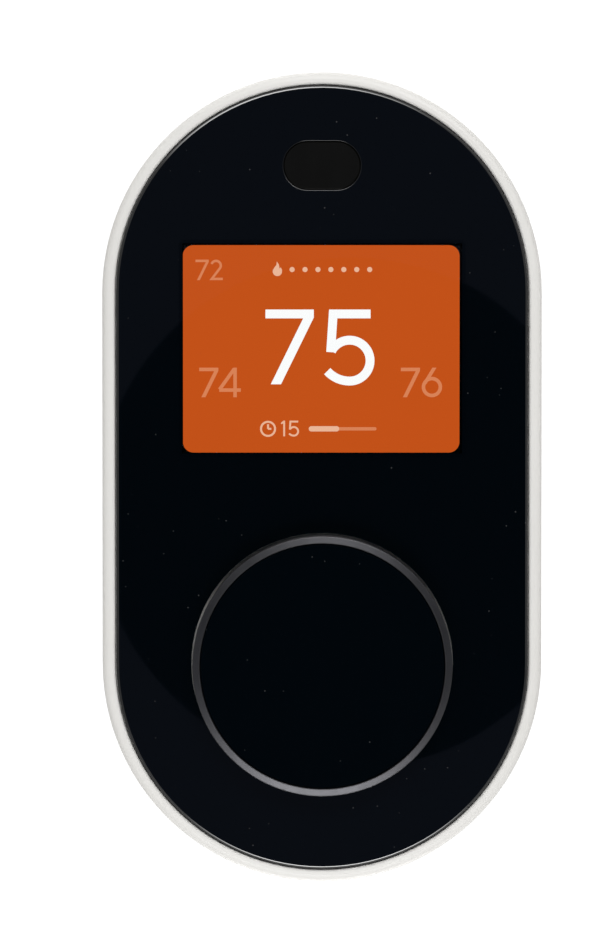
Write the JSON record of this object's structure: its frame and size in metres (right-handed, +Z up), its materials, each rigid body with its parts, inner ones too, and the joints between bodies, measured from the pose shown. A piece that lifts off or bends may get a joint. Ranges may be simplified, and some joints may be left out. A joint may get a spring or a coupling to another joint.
{
  "type": "wall thermostat",
  "caption": "Upright stadium-shaped wall thermostat: glossy black face with a lit display and sensor window, a push-and-turn knob, and a head that pulls off its wall plate.",
  "frame": {"origin": "midpoint between the two wall screws, on the wall plane at the back of the wall plate", "axes": "+Z up the wall along the long side, +X to the right as seen from the front, the face looks along -Y and +Y goes into the wall"},
  "size_m": [0.0684, 0.0314, 0.126],
  "materials": {
    "plate_white": "satin moulded",
    "housing_white": "satin moulded",
    "cover_white": "satin moulded",
    "panel_black": "mirror gloss",
    "window_clear": "clear gloss",
    "sensor_dark": "gloss",
    "adhesive_black": "matte",
    "foam_black": "matte foam",
    "display_lit": "gloss, lit",
    "diffuser_white": "matte",
    "carrier_white": "matte",
    "film_amber": "gloss film",
    "connector_cream": "matte",
    "board_green": "solder-mask gloss",
    "can_steel": "plated",
    "spacer_white": "matte",
    "shield_steel": "plated",
    "chip_black": "matte",
    "relay_black": "satin",
    "can_aluminium": "satin",
    "buzzer_black": "matte",
    "header_black": "matte",
    "pin_gold": "gold plated",
    "screw_steel": "zinc plated",
    "encoder_black": "matte",
    "spring_steel": "bright",
    "rotor_white": "matte",
    "shaft_aluminium": "turned",
    "ring_dark_metal": "dark anodised, turned",
    "cap_black": "mirror gloss",
    "knob_plastic": "matte",
    "vial_clear": "clear gloss",
    "plug_white": "matte",
    "fluid_green": "liquid",
    "terminal_grey": "satin moulded",
    "tab_grey": "satin moulded",
    "strip_brass": "tinned"
  },
  "bodies": {
    "wall_mount": {"wall_plate": "plate_white", "level_vial": "vial_clear", "level_plugs": "plug_white", "level_fluid": "fluid_green", "terminal_block_left": "terminal_grey", "terminal_block_right": "terminal_grey", "contact_strips_left": "strip_brass", "contact_strips_right": "strip_brass", "clamp_springs_left": "spring_steel", "clamp_springs_right": "spring_steel"},
    "head": {"front_housing": "housing_white", "rear_cover": "cover_white", "front_panel": "panel_black", "display_window": "window_clear", "sensor_window": "sensor_dark", "panel_adhesive": "adhesive_black", "display_gasket": "foam_black", "lcd_panel": "display_lit", "backlight_unit": "diffuser_white", "display_carrier": "carrier_white", "lcd_flex": "film_amber", "lcd_connector": "connector_cream", "main_board": "board_green", "pir_sensor": "can_steel", "pir_spacer": "spacer_white", "radio_module": "shield_steel", "board_chips": "chip_black", "humidity_sensor": "chip_black", "relays": "relay_black", "capacitors": "can_aluminium", "buzzer": "buzzer_black", "pin_headers": "header_black", "contact_pins": "pin_gold", "case_screws": "screw_steel", "board_screws": "screw_steel", "encoder_case": "encoder_black", "encoder_cover": "shield_steel", "detent_spring": "spring_steel", "switch_dome": "spring_steel"},
    "encoder_rotor": {"encoder_rotor": "rotor_white"},
    "knob": {"encoder_shaft": "shaft_aluminium", "knob_ring": "ring_dark_metal", "knob_cap": "cap_black", "knob_carrier": "knob_plastic"},
    "tab_left_1": {"terminal_tab_left_1": "tab_grey"},
    "tab_left_2": {"terminal_tab_left_2": "tab_grey"},
    "tab_left_3": {"terminal_tab_left_3": "tab_grey"},
    "tab_left_4": {"terminal_tab_left_4": "tab_grey"},
    "tab_left_5": {"terminal_tab_left_5": "tab_grey"},
    "tab_right_1": {"terminal_tab_right_1": "tab_grey"},
    "tab_right_2": {"terminal_tab_right_2": "tab_grey"},
    "tab_right_3": {"terminal_tab_right_3": "tab_grey"},
    "tab_right_4": {"terminal_tab_right_4": "tab_grey"},
    "tab_right_5": {"terminal_tab_right_5": "tab_grey"}
  },
  "joints": [
    {"name": "head_release", "type": "slide", "parent": "wall_mount", "child": "head", "axis": [0, -1, 0], "range_m": [0, 0.04]},
    {"name": "knob_turn", "type": "hinge", "parent": "head", "child": "encoder_rotor", "pos_m": [0, -0.02, -0.02873], "axis": [0, 1, 0], "continuous": true},
    {"name": "knob_press", "type": "slide", "parent": "encoder_rotor", "child": "knob", "axis": [0, 1, 0], "range_m": [0, 0.0005], "stiffness_N_per_m": 1500, "springref_m": -0.0015, "deforming": ["switch_dome"]},
    {"name": "tab_left_1_press", "type": "slide", "parent": "wall_mount", "child": "tab_left_1", "axis": [0, 1, 0], "range_m": [0, 0.0015], "stiffness_N_per_m": 400, "springref_m": -0.004, "deforming": ["clamp_springs_left"]},
    {"name": "tab_left_2_press", "type": "slide", "parent": "wall_mount", "child": "tab_left_2", "axis": [0, 1, 0], "range_m": [0, 0.0015], "stiffness_N_per_m": 400, "springref_m": -0.004, "deforming": ["clamp_springs_left"]},
    {"name": "tab_left_3_press", "type": "slide", "parent": "wall_mount", "child": "tab_left_3", "axis": [0, 1, 0], "range_m": [0, 0.0015], "stiffness_N_per_m": 400, "springref_m": -0.004, "deforming": ["clamp_springs_left"]},
    {"name": "tab_left_4_press", "type": "slide", "parent": "wall_mount", "child": "tab_left_4", "axis": [0, 1, 0], "range_m": [0, 0.0015], "stiffness_N_per_m": 400, "springref_m": -0.004, "deforming": ["clamp_springs_left"]},
    {"name": "tab_left_5_press", "type": "slide", "parent": "wall_mount", "child": "tab_left_5", "axis": [0, 1, 0], "range_m": [0, 0.0015], "stiffness_N_per_m": 400, "springref_m": -0.004, "deforming": ["clamp_springs_left"]},
    {"name": "tab_right_1_press", "type": "slide", "parent": "wall_mount", "child": "tab_right_1", "axis": [0, 1, 0], "range_m": [0, 0.0015], "stiffness_N_per_m": 400, "springref_m": -0.004, "deforming": ["clamp_springs_right"]},
    {"name": "tab_right_2_press", "type": "slide", "parent": "wall_mount", "child": "tab_right_2", "axis": [0, 1, 0], "range_m": [0, 0.0015], "stiffness_N_per_m": 400, "springref_m": -0.004, "deforming": ["clamp_springs_right"]},
    {"name": "tab_right_3_press", "type": "slide", "parent": "wall_mount", "child": "tab_right_3", "axis": [0, 1, 0], "range_m": [0, 0.0015], "stiffness_N_per_m": 400, "springref_m": -0.004, "deforming": ["clamp_springs_right"]},
    {"name": "tab_right_4_press", "type": "slide", "parent": "wall_mount", "child": "tab_right_4", "axis": [0, 1, 0], "range_m": [0, 0.0015], "stiffness_N_per_m": 400, "springref_m": -0.004, "deforming": ["clamp_springs_right"]},
    {"name": "tab_right_5_press", "type": "slide", "parent": "wall_mount", "child": "tab_right_5", "axis": [0, 1, 0], "range_m": [0, 0.0015], "stiffness_N_per_m": 400, "springref_m": -0.004, "deforming": ["clamp_springs_right"]}
  ]
}
